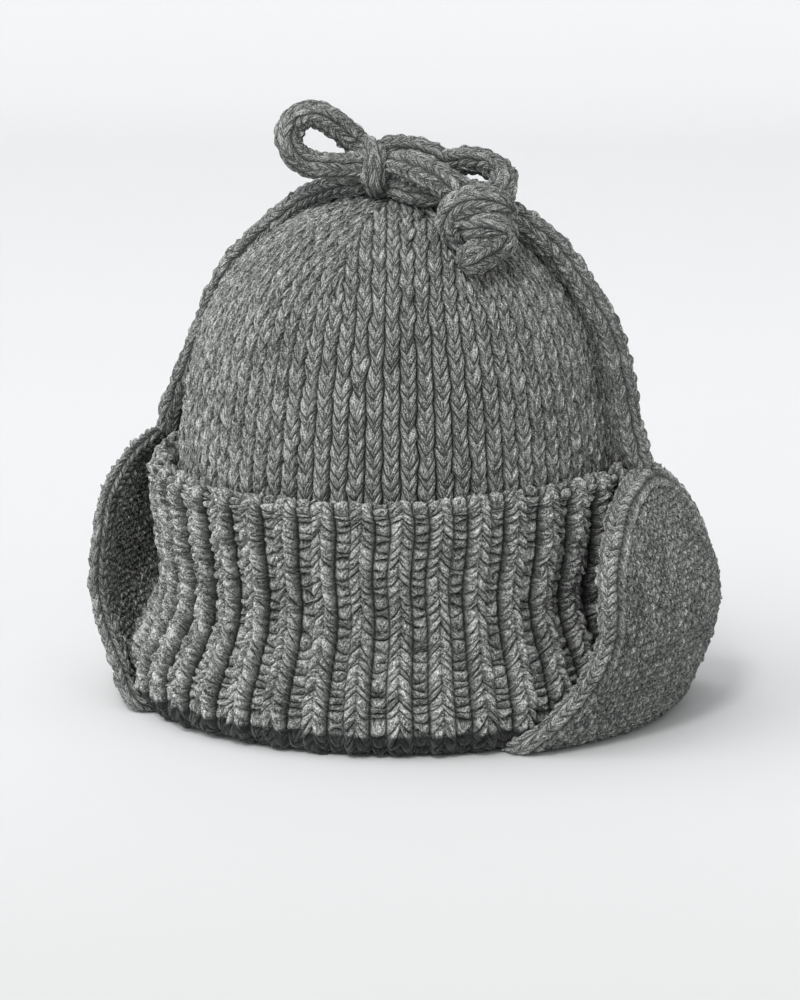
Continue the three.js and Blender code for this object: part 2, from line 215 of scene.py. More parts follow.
def knit_mesh(name, points, rows, e_from, e_to, leg, along_closed=False):
    """A closed mesh from points (rows, lines, 3). Faces join neighbouring rows and lines; the
    lines close to a ring, and the rows do too where `along_closed` is true."""
    count, lines = points.shape[:2]
    last_row = count if along_closed else count - 1
    j, k = np.meshgrid(np.arange(last_row), np.arange(lines), indexing="ij")
    j, k = j.ravel(), k.ravel()
    j2, k2 = (j + 1) % count, (k + 1) % lines
    faces = np.stack([j * lines + k, j * lines + k2, j2 * lines + k2, j2 * lines + k], axis=1)
    rows_to = rows[j2] if not along_closed else np.where(j2 == 0, rows[-1] + 0.2, rows[j2])
    u0 = leg[k] + 0.01 + 0.98 * e_from[k]
    u1 = leg[k] + 0.01 + 0.98 * e_to[k]
    corners = np.stack([u0, rows[j], u1, rows[j], u1, rows_to, u0, rows_to], axis=1)
    mesh = bpy.data.meshes.new(name)
    mesh.from_pydata(points.reshape(-1, 3).tolist(), [], faces.tolist())
    mesh.uv_layers.new(name="stitches").data.foreach_set("uv", corners.ravel())
    work = bmesh.new()
    work.from_mesh(mesh)
    bmesh.ops.remove_doubles(work, verts=work.verts, dist=WELD)
    if work.calc_volume(signed=True) < 0:
        bmesh.ops.reverse_faces(work, faces=work.faces)
    close_up(work)
    open_edges = sum(1 for edge in work.edges if edge.is_boundary)
    triangles = sum(len(face.verts) - 2 for face in work.faces)
    work.to_mesh(mesh)
    work.free()
    mesh.shade_smooth()
    piece = bpy.data.objects.new(name, mesh)
    bpy.context.scene.collection.objects.link(piece)
    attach(piece, "root")
    print(name, triangles, "triangles,", open_edges, "open edges")
    return piece


# %% [markdown]
# ## The two cords
#
# Each cord is a round knit tube, an i-cord five columns round. It leaves the tip of an ear flap,
# lies up the side of the crown, makes its share of the bow and ends in an overhand knot with a
# short tail. The right one runs under the knot, round the left loop and over the front as the
# band that holds the bow. The routes repeat the CAD's points.

# %% The bow's own axes
def bow(points):
    """Points given across the bow's broad side, toward its face and up, turned 24 degrees."""
    across, toward, up = np.array(points, float).T
    x = across * np.cos(AZIMUTH) + toward * np.sin(AZIMUTH)
    y = across * np.sin(AZIMUTH) - toward * np.cos(AZIMUTH)
    return np.stack([x, y, up], axis=1) / 1000


def tie(side, points):
    """Points given outward from the cap's axis, forward and up, on the left (-1) or right (1)."""
    out, front, up = np.array(points, float).T
    return np.stack([side * out, -front, up], axis=1) / 1000


# An overhand knot about its middle, across, toward and up: in behind, round the left, over the
# top as a hood, down on the right, back through the middle and round the right to the tail
OVERHAND = np.array(
    [
        (-7, -4, 3), (1, -6, -1), (6, -4, -6), (1, 0, -9), (-7, 2, -7.4), (-11.4, 4, -1),
        (-9.6, 7, 6), (-2.4, 9, 10), (6, 8, 9.2), (11, 3, 5), (8.5, -3, 0.6), (1.5, -3.5, -1),
        (-3.6, 3, -2), (0.6, 9.4, -1.6), (7, 11.6, -0.8), (11.4, 10.4, -3.6), (10, 10.6, -8.4),
        (4.6, 11.6, -11.4),
    ]
)

# %% The cords' routes
LEFT_TIE = [
    (115, 0, 108), (112.4, 0, 121), (108.5, 0, 130), (100.5, 0, 148), (93.6, 0, 163.6),
    (89.2, 0, 173.8), (81.2, 0, 188.2), (70, 0, 199.2), (57.6, 0, 210.4), (43, 1, 220.5),
    (27, 3.5, 226.6), (13, 5.5, 229.8),
]
RIGHT_TIE = [
    (115, 0, 108), (110.4, 0, 121), (107.6, 0, 131), (104.6, 0, 148), (100.4, 0, 163.6),
    (96, 0, 173.8), (85.6, 0, 189), (75.6, 0, 202.1), (61.4, 0, 212.9), (44, 0.4, 220.8),
    (27, 3, 226.6), (12, 5.6, 229.8),
]
LEFT_LOOP = [
    (-3.5, 8.5, 233.6), (-13, 12.8, 237.6), (-20.2, 11.6, 237.4), (-29.9, 10.4, 237.4),
    (-39.6, 9, 238.4), (-46, 8, 242.8), (-48, 6.5, 249.6), (-45.5, 5, 256.6),
    (-39.1, 3.5, 259.5), (-30.8, 1.5, 256.4), (-23.6, 0.5, 250.4), (-18, 0.5, 245.6),
]
WRAP = [
    (-13.4, 5, 243.6), (-11.9, 11.5, 244.2), (-10.9, 17, 240.8), (-10.6, 18.6, 236), (-10.6, 17, 231.2),
    (-8, 11.5, 229.6), (-4.4, 9.6, 233.4), (-2, 15, 237.6),
]
FRONT_END = [(5.4, 25.4, 238.8), (14, 33, 235.8), (23.4, 39.4, 230)]
RIGHT_LOOP = [
    (-7.6, 5, 238), (-5, 7, 243.4), (2, 7.6, 244.6), (11, 8.6, 242.6), (20.6, 10.4, 238.8),
    (30.5, 12, 240), (38.6, 14, 238.6), (43, 17.6, 235.6), (44.4, 22.6, 232.4),
    (44, 28.2, 229), (41.4, 31, 226.6), (37, 29, 226.6), (30.6, 26.4, 227.4),
    (24, 26, 227.8), (18.6, 26, 227.6), (12.6, 25, 227.6), (6, 21, 227.6), (0, 14, 228.6),
    (-4, 8, 230.6),
]
BACK_END = [(-3, 0.5, 238), (-2.4, -12, 234.6), (-5, -25, 228.4), (-8, -38, 224)]
FRONT_KNOT = np.array([32.8, 46.0, 218.0])
BACK_KNOT = np.array([-10.0, -60.0, 214.4])
front_knot = FRONT_KNOT + OVERHAND * [0.9, 1, 0.96]
back_knot = BACK_KNOT + np.stack([OVERHAND[:, 1], -OVERHAND[:, 0], OVERHAND[:, 2]], axis=1)
right_route = np.concatenate(
    [
        tie(1, RIGHT_TIE), bow(LEFT_LOOP), bow(WRAP), bow(FRONT_END), bow(front_knot),
        bow([(30.5, 64, 204.4), (25.5, 67, 202)]),
    ]
)
left_route = np.concatenate(
    [
        tie(-1, LEFT_TIE), bow(RIGHT_LOOP), bow(BACK_END), bow(back_knot),
        bow([(-1.6, -62.4, 199.4), (-1.4, -63.4, 196)]),
    ]
)

# %% [markdown]
# A tube needs a pair of directions square to its line at every place. Starting from any such
# pair, each step turns the pair just enough to stay square to the line, so that the stitches
# don't twist round the cord.

# %% A knit tube
CORD = 0.0115


def carried_sides(points):
    """Two unit vectors square to the line at each point, each carried on from the last one with
    the part along the line taken out."""
    runs = np.gradient(points, axis=0)
    runs /= np.linalg.norm(runs, axis=1)[:, None]
    first = np.zeros_like(points)
    guess = np.cross(runs[0], [0.0, 0.0, 1.0])
    for i, run in enumerate(runs):
        guess = guess - run * guess.dot(run)
        guess /= np.linalg.norm(guess)
        first[i] = guess
    return first, np.cross(runs, first)


def knit_tube(name, route, seed, halves=10, pitch=0.0042, slant=1.1, relief=0.0019):
    """A round knit cord: the line, plus a radius that rises over each leg and falls in the
    grooves, with both ends rounded off over one radius. The route's fourth column, when it has
    one, is how much thicker the cord is there, in hundred-thousandths."""
    along, line = line_through(route)
    swell = 1 + line[:, 3] * 1e5
    line = line[:, :3]
    first, second = carried_sides(line)
    place, e_from, e_to, leg = v_lines(halves, np.array([0.0, 0.2, 0.45, 0.75]))
    rows = row_places(int(along[-1] / pitch) + 4) - 2.5
    e = e_from[None, :]
    push = uneven(place / 2, rows[:, None], halves / 2, seed, most=0.9)
    s = np.clip((rows[:, None] + slant * (1 - e) + 0.16 * push) * pitch, 0, along[-1])
    s = np.maximum.accumulate(s, axis=0)
    end = np.clip(np.minimum(s, along[-1] - s) / (0.5 * CORD), 0, 1)
    groove = np.interp(e_from, [0, 0.2, 0.45, 0.75, 1], [0.3, 0.85, 1, 1, 0.5])[None, :]
    lift = 1 + 0.3 * uneven(place / 2, rows[:, None], halves / 2, seed + 1, most=0.9)
    height = relief * (yarn_round(rows)[:, None] * groove * lift - 0.7)
    radius = (0.5 * CORD + height) * np.interp(s, along, swell) * np.sqrt(1 - (1 - end) ** 2)
    wander = 0.07 * uneven(place / 2, rows[:, None], halves / 2, seed + 2)
    angle = 2 * np.pi * place[None, :] / halves + wander
    out = columns_at(s, along, first) * np.cos(angle)[:, :, None]
    out += columns_at(s, along, second) * np.sin(angle)[:, :, None]
    points = columns_at(s, along, line) + radius[:, :, None] * out
    return knit_mesh(name, points, rows, e_from, e_to, leg), along[-1], line


def with_swell(route, *parts):
    """The route with a fourth column: each part is (first point, last point, how much thicker)."""
    extra = np.zeros(len(route))
    for begin, end, more in parts:
        extra[begin:end] = more * 1e-5
    return np.column_stack([route, extra])


cords = {}
front_end = len(RIGHT_TIE) + len(LEFT_LOOP) + len(WRAP)
back_end = len(LEFT_TIE) + len(RIGHT_LOOP)
# The band round the knot is pulled tight; the free ends and the end knots are plumper
right_route = with_swell(
    right_route,
    (front_end - 8, front_end - 2, -0.12),
    (front_end, front_end + 3, 0.16),
    (front_end + 4, 99, 0.17),
)
left_route = with_swell(left_route, (back_end + 4, 99, 0.12))
for name, route, seed in (("cord_right", right_route, 5), ("cord_left", left_route, 9)):
    cords[name], length, line = knit_tube(name, route, seed)
    print(name, "is", round(float(length), 4), "m long")
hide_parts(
    "tie_cord_right",
    "bow_loop_left",
    "bow_knot",
    "bow_end_front",
    "end_knot_front",
)
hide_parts("tie_cord_left", "bow_loop_right", "bow_end_back", "end_knot_back")

# %% [markdown]
# ## The crown
#
# The crown is knitted round in stocking stitch, 80 columns at its widest. Near the top the
# columns keep their width, so they run out one by one along eight lines, as decreases do. Each
# of the eight gores is worked out about its own middle line and its columns stop at its edges.

# %% The crown's section
CROWN_PROFILE = [
    (101.5, 6.3), (104.2, 12), (103.6, 21), (101.3, 34), (97.4, 47), (95.4, 60), (95.3, 84),
    (96.4, 105), (95.4, 120), (93, 138), (89.4, 154.9), (85.2, 169.2), (80.2, 179.3),
    (71, 192), (60, 202.1), (48.5, 210.5), (34, 217.1), (18, 221.5), (0, 223),
]
VIEW = -0.5 * np.pi + AZIMUTH
crown_along, crown_line = line_through(np.array(CROWN_PROFILE) / 1000)
crown_line[:, 0] = np.maximum(crown_line[:, 0], 0)
crown_line[-1, 0] = 0.0


def normals_2d(line):
    """The outward direction square to a section line of (r, z) that runs upward on the outside."""
    run = np.gradient(line, axis=0)
    run /= np.linalg.norm(run, axis=1)[:, None]
    return np.stack([run[:, 1], -run[:, 0]], axis=1)


crown_out = normals_2d(crown_line)
crown_out[-1] = (0.0, 1.0)


# %% The crown's mesh
def crown_piece(pitch=0.0048, slant=1.25, relief=0.0027, start=0.086):
    """Rows of the outside by arc length and, before them, the inside as coarse rows. A column's
    place is its number times its width from the gore's middle, held within the gore."""
    begin = np.interp(start, crown_line[:, 1], crown_along)
    top = crown_along[-1]
    rows = row_places(int((top - begin) / pitch) + 3)
    hidden = np.linspace(0, begin, 8)[:-1]
    inside = np.linspace(top, 0.0, 18)
    place, e_from, e_to, leg = v_lines(20)
    place = place - 10.0
    gores = 8
    q = np.tile(place, gores)
    e = np.tile(e_from, gores)
    fade = np.clip(rows / 2.0, 0, 1)[:, None]
    column = (np.arange(gores)[:, None] * 20 + place[None, :] + 10).ravel()[None, :] / 2
    push = 0.17 * fade * uneven(column, rows[:, None], 80, 11, most=0.8)
    shear = slant * fade * (1 - e[None, :]) + push
    s = np.clip(begin + pitch * (rows[:, None] + shear), 0, top)
    r = np.interp(s, crown_along, crown_line[:, 0])
    wide = 0.5 * np.maximum(2 * np.pi * r / 80, np.interp(s, [0.6 * top, top], [0.0062, 0.0056]))
    wide = np.where(np.interp(s, crown_along, crown_line[:, 1]) < 0.16, np.pi * r / 80, wide)
    stopped = np.abs(q[None, :] * wide) > r * np.pi / 8 - 1e-6
    s = np.where(stopped, np.clip(begin + pitch * (rows[:, None] + slant * fade), 0, top), s)
    r = np.interp(s, crown_along, crown_line[:, 0])
    reach = np.clip(q[None, :] * wide / np.maximum(r, 1e-6), -np.pi / 8, np.pi / 8)
    aside = 0.0005 * fade * uneven(column, rows[:, None], 80, 12) / np.maximum(r, 0.01)
    reach = np.clip(reach + aside * (np.abs(q) < 10)[None, :], -np.pi / 8, np.pi / 8)
    reach = np.where(stopped, np.sign(q)[None, :] * np.pi / 8, reach)
    arch = np.interp(e, [0, 0.18, 0.56, 1], [0.0, 0.85, 1.0, 0.62])[None, :]
    between = np.interp(s, [begin, 0.5 * top, 0.8 * top], [-0.3, -0.1, 0.35])
    arch = np.where(e[None, :] == 0, between, arch)
    lift = 1 + 0.25 * uneven(column, rows[:, None], 80, 13, most=0.8)
    leg_height = lift * arch * (0.36 + 0.64 * yarn_round(rows)[:, None])
    height = relief * np.where(stopped, 0.2, leg_height) * fade
    height *= np.clip((top - s) / 0.004, 0, 1)
    coarse_s = np.concatenate([inside, hidden])[:, None] * np.ones_like(q)[None, :]
    wall = np.interp(inside, [0.0, 0.01, 0.03], [0.002, 0.006, 0.006])
    coarse_h = np.concatenate([-wall, np.zeros(len(hidden))])[:, None] * np.ones_like(q)[None, :]
    coarse_a = np.clip(q / 10 * np.pi / 8, -np.pi / 8, np.pi / 8)[None, :] * np.ones_like(coarse_s)
    s = np.concatenate([coarse_s, s])
    h = np.concatenate([coarse_h, height - 0.5 * relief * fade])
    gore_turn = np.repeat(np.arange(gores), len(place)) * np.pi / 4 + VIEW
    turn = np.concatenate([coarse_a, reach]) + gore_turn[None, :]
    flat = columns_at(s, crown_along, crown_line) + h[:, :, None] * columns_at(s, crown_along, crown_out)
    radius = np.maximum(flat[:, :, 0], 0.0)
    points = np.stack([radius * np.cos(turn), radius * np.sin(turn), flat[:, :, 1]], axis=2)
    all_rows = np.concatenate([np.arange(-18 - len(hidden), 0), rows])
    legs = np.repeat(np.arange(gores), len(leg)) * 20 + np.tile(leg, gores)
    return knit_mesh(
        "crown_knit", points, all_rows.astype(float), e, np.tile(e_to, gores), legs
    )


crown = crown_piece()
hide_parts("crown")

# %% [markdown]
# ## The cuff
#
# The cuff is a wide rib, turned up: plump knit columns with their Vs upside down, and between
# them narrower purl columns that lie deeper and show small cross bumps. Its section is a closed
# ring, so the rows can run over the top edge and on into the hidden inside. Each point of the
# section is (distance from the axis, height, how deep the valleys between the ribs are there).

# %% The cuff's section
CUFF_SECTION = [
    (104, 15, 0.1), (106, 10, 0.1), (112, 10.2, 0.15), (117.6, 12.4, 0.4), (120, 18, 0.8),
    (118.6, 26, 1), (113.2, 37, 1), (107.8, 47, 1), (105.6, 60, 1), (107.9, 75, 1),
    (109.6, 90, 1), (110, 98, 0.8), (109, 103.5, 0.2), (104.8, 107.2, 0), (100.4, 103, 0),
    (98.6, 80, 0), (96, 60, 0), (102.2, 34, 0),
]
section = np.array(CUFF_SECTION) / np.array([1000, 1000, 100])
cuff_along, cuff_line = line_through(section, closed=True)
cuff_rib = cuff_line[:, 2] * 100
cuff_line = cuff_line[:, :2]
cuff_out = normals_2d(cuff_line)


# %% The cuff's mesh
def cuff_piece(ribs=40, pitch=0.0041, slant=1.45, rib=0.0044, relief=0.0028):
    """Across a rib: two knit halves on 0.62 of the pitch and a purl column on the rest. The
    height is the rib's own rise times the section's share, plus the yarn's rise. The cast-on
    row at the top is a plump roll, where the purl columns come forward too. At the front and
    the back, away from the flaps, the turn at the bottom sags to the table, and the wool's
    Shade darkens it there: painted shade, a dark sheet where a shaded gap lies under the cuff."""
    steps = np.array([0.0, 0.16, 0.42, 0.76])
    to_middle = np.append(steps, 1.0)
    place, e_from, e_to, leg = v_lines(2, steps)
    purl = np.array([0.0, 0.25, 0.5, 0.75])
    across = np.concatenate([place / 2 * 0.62, 0.62 + 0.38 * purl])
    e = np.concatenate([e_from, np.zeros(4)])
    f0 = np.concatenate([e_from, [0, 0.5, 0.9, 0.5]])
    f1 = np.concatenate([e_to, [0.5, 0.9, 0.5, 0]])
    leg = np.concatenate([leg, [2, 2, 2, 2]])
    rise = np.interp(e_from, to_middle, [0.12, 0.62, 0.93, 1.0, 0.86])
    rise = np.concatenate([rise, [0.12, 0, 0, 0]])
    thick = np.interp(e_from, to_middle, [0.1, 0.75, 1.0, 1.0, 0.62])
    thick = np.concatenate([thick, [0.1, 0.8, 1.0, 0.8]])[None, :]
    turn = ((np.arange(ribs)[:, None] + across[None, :] - 0.31) / ribs * 2 * np.pi).ravel() + VIEW
    inner = (cuff_line[:, 1] < 0.099) & (cuff_line[:, 0] < 0.1015) & (cuff_along > 0.09)
    end = cuff_along[np.argmax(inner)]
    rows = row_places(int(round((end - 0.001) / pitch)))
    span = (end - 0.001) / rows[-1]
    fade = np.clip(np.minimum(rows / 2.0, (rows[-1] - rows) / 1.0), 0, 1)[:, None]
    e_all = np.tile(e, ribs)[None, :]
    column = (np.arange(ribs)[:, None] + across[None, :]).ravel()[None, :]
    push = 0.26 * uneven(column * 2, rows[:, None], 80, 21, most=0.9)
    s = 0.001 + span * (rows[:, None] - fade * (slant * (1 - e_all) - push))
    s = np.maximum(np.maximum.accumulate(s, axis=0), 0.0005)
    coarse = np.linspace(end, cuff_along[-1], 14)[1:-1]
    smooth = np.zeros((len(coarse), e_all.shape[1]))
    s = np.concatenate([s, coarse[:, None] + smooth])
    share = np.interp(s, cuff_along, cuff_rib)
    lift = 1 + 0.35 * uneven(column * 2, rows[:, None], 80, 22, most=0.9)
    round_rows = yarn_round(rows)[:, None]
    is_purl = np.tile(np.arange(len(leg)) > 7, ribs)[None, :]
    round_rows = np.where(is_purl, np.clip(2.9 * round_rows - 1.8, -0.7, 1.1), round_rows)
    wave = np.concatenate([round_rows * lift * fade, smooth])
    plump = 0.75 + (np.tile(thick, ribs) - 0.75) * np.clip(2.5 * share, 0.35, 1)
    h = -rib * (1 - np.tile(rise, ribs)[None, :]) * share + relief * (wave * plump - 0.6)
    base = columns_at(s, cuff_along, cuff_line)
    flat = base + h[:, :, None] * columns_at(s, cuff_along, cuff_out)
    z = flat[:, :, 1]
    wander = uneven(column, rows[:, None], 40, 23, least=0.02, most=0.12)
    turn = turn[None, :] + 0.006 * np.concatenate([wander, smooth])
    lift = 0.006 * np.cos(turn) ** 2 * (np.clip(z - 0.01, 0, 1) / 0.107) ** 2
    # the sagging turn is darkened by the rib wool's Shade: painted shade where a shaded gap lies under the
    # cuff
    off_flaps = np.clip((0.9 - np.abs(np.cos(turn))) / 0.12, 0, 1)
    sag = 0.0095 * off_flaps * np.clip((0.0165 - base[:, :, 1]) / 0.0065, 0, 1)
    z = z + lift - sag
    points = on_floor(np.stack([flat[:, :, 0] * np.cos(turn), flat[:, :, 0] * np.sin(turn), z], axis=2))
    legs = np.repeat(np.arange(ribs), len(leg)) * 3 + np.tile(leg, ribs)
    all_rows = np.concatenate([rows, rows[-1] + 1.0 + np.arange(len(coarse))])
    f0, f1 = np.tile(f0, ribs), np.tile(f1, ribs)
    return knit_mesh("cuff_rib", points, all_rows, f0, f1, legs, along_closed=True)


cuff = cuff_piece()
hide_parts("cuff")

# %% [markdown]
# ## The ear flaps
#
# Each flap is a finer, denser stocking stitch, a shaped slab that comes out from under the cap
# and stands up along its side to a point. Its place is told by x across, the distance up along
# its middle, and the depth inward. Its columns run straight up and stop at the outline.

# %% The flap's shape
FLAP_PROFILE = [
    (92, 0, 43), (104, 0, 43), (116, 0, 43), (123, 2.4, 42.3), (127.6, 8, 40.5), (130.6, 16, 37),
    (134.8, 26, 33.6), (138.6, 37, 30.9), (140.6, 48, 29.1), (139.8, 58, 28.1), (137, 67, 27.3),
    (133, 78, 25.8), (129, 88, 23), (124.2, 97, 19), (120.2, 106, 13), (117.6, 113, 3.5),
]
# The two flaps don't hang alike: the left one is fuller near its tip and flatter at its belly
LEANING = {
    -1: [0, 0, 0, -1, -2, -3, -4, -4.4, -4.2, -3, -1.2, 1.6, 4, 5.4, 4.6, 2],
    1: [0, 0, 0, 0, 0.6, 1.2, 1.2, 0.8, 0.4, 0.2, 0.2, 0, -0.4, -1, -1.2, -1],
}
profile = np.array(FLAP_PROFILE)
flap_along, flap_line, flap_out = {}, {}, {}
for side in (-1, 1):
    radius = profile[:, 0] + LEANING[side]
    rows = np.stack([radius, profile[:, 1], np.radians(profile[:, 2]) * profile[:, 0]], axis=1)
    flap_line[side] = line_through(rows / 1000)[1]
    steps = np.linalg.norm(np.diff(flap_line[side][:, :2], axis=0), axis=1)
    flap_along[side] = np.concatenate([[0], np.cumsum(steps)])
    flap_out[side] = normals_2d(flap_line[side][:, :2])


def flap_point(side, x, along, depth):
    """A place on a flap: the angle is x over the distance from the cap's axis; the depth moves
    the place inward, square to the profile."""
    line = columns_at(along, flap_along[side], flap_line[side])
    out = columns_at(along, flap_along[side], flap_out[side])
    angle = x / line[..., 0]
    radius = line[..., 0] - depth * out[..., 0]
    height = line[..., 1] - depth * out[..., 1]
    return np.stack([side * radius * np.cos(angle), radius * np.sin(angle), height], axis=-1)


def flap_edge(side, inset):
    """Half of the outline as (x, along), moved inward by inset square to its run."""
    edge = np.stack([flap_line[side][:, 2], flap_along[side]], axis=1)
    edge = np.concatenate([edge, [[0.0, flap_along[side][-1] + 0.001]]])
    run = np.gradient(edge, axis=0)
    run /= np.linalg.norm(run, axis=1)[:, None]
    moved = np.stack([edge[:, 0] - inset * run[:, 1], edge[:, 1] + inset * run[:, 0]], axis=1)
    return moved[moved[:, 0] > 0]


# %% The flap's field
def flap_piece(name, side, wide=0.0024, pitch=0.0032, slant=1.15, relief=0.0022, inset=0.0105):
    """Outside lines from front to back and inside lines back again make one flat ring. Towards
    every edge the two faces round off to the slab's middle, where they meet."""
    edge = flap_edge(side, inset)
    end = edge[:, 1].max()
    edge_up = edge[np.argsort(edge[:, 1])]

    def half(along):
        return np.interp(along, edge_up[:, 1], edge_up[:, 0])

    columns = 2 * int(np.ceil(edge[:, 0].max() / wide / 2))
    place, e_from, e_to, leg = v_lines(2 * columns)
    q = np.concatenate([place - columns, columns - place])
    e = np.concatenate([e_from, e_from])
    face = np.concatenate([np.ones(len(place)), -np.ones(len(place))])
    rows = row_places(int(end / pitch) + 3, np.array([0.0, 0.2, 0.5, 0.8])) - 1.5
    push = 0.2 * uneven(q[None, :] / 2 + 7 * face, rows[:, None], 64, 31 + side, most=0.9)
    s = np.clip((rows[:, None] + slant * (1 - e[None, :]) + push) * pitch, 0, end)
    s = np.maximum.accumulate(s, axis=0)
    at_row = np.clip((rows[:, None] + 0.5 * slant) * pitch, 0, end)
    stopped = np.abs(q[None, :]) * wide > half(at_row)
    s = np.where(stopped, at_row, s)
    x = np.where(stopped, np.sign(q)[None, :] * half(s), np.clip(q[None, :] * wide, -half(s), half(s)))
    near = np.minimum(np.minimum(s, end - s), half(s) - np.abs(x)) / 0.003
    puff = np.sqrt(1 - (1 - np.clip(near, 0, 1)) ** 2)
    arch = np.interp(e, [0, 0.18, 0.56, 1], [0.1, 0.85, 1.0, 0.4])[None, :]
    lift = 1 + 0.3 * uneven(q[None, :] / 2 + 7 * face, rows[:, None], 64, 33 + side, most=0.9)
    height = relief * (lift * arch * yarn_round(rows)[:, None] - 0.5)
    depth = 0.003 - face[None, :] * (0.003 + height) * puff
    points = on_floor(flap_point(side, x, s, depth))
    legs = np.concatenate([leg, leg + 2 * columns])
    e_to = np.concatenate([e_to, e_to])
    return knit_mesh(name, points, rows, e, e_to, legs)


# %% [markdown]
# ## The flaps' edging
#
# A band of larger stitches runs round each flap's free edge. It is a flattened knit tube in the
# flap's own measures: its line runs 6 mm inside the outline, and its section lies on the flap.

# %% The edging's mesh
def edging_piece(
    name, side, halves=8, pitch=0.0043, slant=0.95, relief=0.002, wide=0.0066, thick=0.0038
):
    """The line goes up one side of the outline and down the other. Round it, the section is an
    ellipse with fuller corners: wide in the flap's surface, thick through it."""
    half = flap_edge(side, 0.0062)[::6]
    front = np.stack([-half[:, 0], half[:, 1]], axis=1)
    tip = np.array([[0.0, flap_along[side][-1] - 0.0062]])
    along, line = line_through(np.concatenate([front, tip, half[::-1]]))
    run = np.gradient(line, axis=0)
    run /= np.linalg.norm(run, axis=1)[:, None]
    aside = np.stack([run[:, 1], -run[:, 0]], axis=1)
    place, e_from, e_to, leg = v_lines(halves)
    rows = row_places(int(along[-1] / pitch) + 4) - 2.0
    e = e_from[None, :]
    push = 0.18 * uneven(place / 2, rows[:, None], halves / 2, 41 + side, most=0.9)
    s = np.clip((rows[:, None] + slant * (1 - e) + push) * pitch, 0, along[-1])
    s = np.maximum.accumulate(s, axis=0)
    end = np.clip(np.minimum(s, along[-1] - s) / 0.004, 0, 1)
    arch = np.interp(e_from, [0, 0.18, 0.56, 1], [0.3, 0.85, 1.0, 0.5])[None, :]
    lift = 1 + 0.28 * uneven(place / 2, rows[:, None], halves / 2, 43 + side, most=0.9)
    grow = 1 + relief * (lift * arch * yarn_round(rows)[:, None] - 0.6) / thick
    grow = grow * np.sqrt(1 - (1 - end) ** 2)
    angle = 2 * np.pi * place / halves
    across = np.sign(np.cos(angle)) * np.abs(np.cos(angle)) ** 0.75 * wide
    through = np.sign(np.sin(angle)) * np.abs(np.sin(angle)) ** 0.85 * thick
    centre = columns_at(s, along, line)
    spread = across[None, :] * (1 + (grow - 1) * thick / wide)
    flat = centre + columns_at(s, along, aside) * spread[:, :, None]
    points = on_floor(flap_point(side, flat[:, :, 0], flat[:, :, 1], 0.0028 - through[None, :] * grow))
    return knit_mesh(name, points, rows, e_from, e_to, leg)


flaps = {}
for name, side in (("left", -1), ("right", 1)):
    flaps[name] = flap_piece("flap_" + name, side)
    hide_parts("ear_flap_" + name)
    band = edging_piece("edging_" + name, side)
    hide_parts("flap_edging_" + name)
    flaps["edging_" + name] = band

# %% [markdown]
# ## The wool
#
# The yarn is a grey heather: dark, middle and pale fibres spun together, so every leg has its
# own shade and short streaks run along it. One shader group works this out from a piece's place
# in stitches, and every knit material uses it with its own values. It also darkens the grooves
# a little, where fuzz and shadow hide the yarn, and gives the height of fibres and plies. Under
# the cuff's turn, next to the table, almost no light arrives, and Shade darkens the wool there.

# %% A helper for shader nodes
def add_node(tree, kind, links=(), **values):
    """A node with its plain settings and its inputs, each input a number, a colour or a socket."""
    node = tree.nodes.new(kind)
    for key, value in values.items():
        setattr(node, key, value)
    for key, value in dict(links).items():
        if isinstance(value, bpy.types.NodeSocket):
            tree.links.new(value, node.inputs[key])
        else:
            node.inputs[key].default_value = value
    return node


def add_math(tree, operation, *inputs):
    """One step of arithmetic, giving its result's socket."""
    return add_node(tree, "ShaderNodeMath", dict(enumerate(inputs)), operation=operation).outputs[0]


